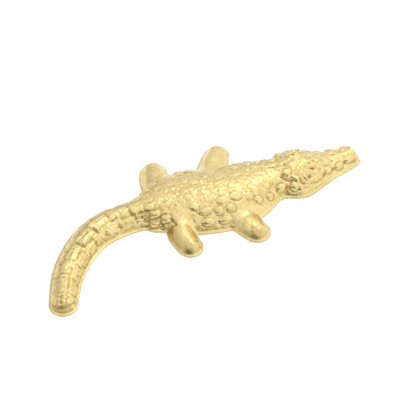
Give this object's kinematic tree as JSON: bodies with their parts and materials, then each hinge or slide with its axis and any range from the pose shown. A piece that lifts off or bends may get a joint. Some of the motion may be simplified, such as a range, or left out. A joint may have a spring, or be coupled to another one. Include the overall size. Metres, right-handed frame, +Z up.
{
  "type": "alligator hair clip",
  "caption": "Hollow struck-brass alligator ornament with a sprung, toothed hair clip hinged inside its hollow back.",
  "frame": {"origin": "under the middle of the alligator's outline, on the plane of its rim", "axes": "+X towards the snout along the clip's axis, +Y towards the alligator's left side, +Z up out of its back"},
  "size_m": [0.0976, 0.0483, 0.0071],
  "materials": {
    "raw_brass": "satin raw brass with fine unevenness",
    "brass_strip": "matt rolled brass strip",
    "solder": "soft dull solder",
    "rivet_brass": "peened brass",
    "clip_steel": "bright nickel-plated steel",
    "pin_steel": "plated steel, peened ends",
    "spring_steel": "drawn spring wire"
  },
  "bodies": {
    "ornament": {"alligator_shell": "raw_brass", "front_bridge": "brass_strip", "rear_bridge": "brass_strip", "solder_beads": "solder", "rivets": "rivet_brass", "upper_arm": "clip_steel", "hinge_pin": "pin_steel", "torsion_spring": "spring_steel"},
    "jaw": {"lower_arm": "clip_steel"}
  },
  "joints": [
    {"name": "jaw_hinge", "type": "hinge", "parent": "ornament", "child": "jaw", "pos_m": [-0.004, 0.005, 0.00222], "axis": [0, 1, 0], "range_deg": [0, 20], "stiffness_Nm_per_rad": 0.02, "springref_deg": -34.38, "deforming": ["torsion_spring"]}
  ]
}
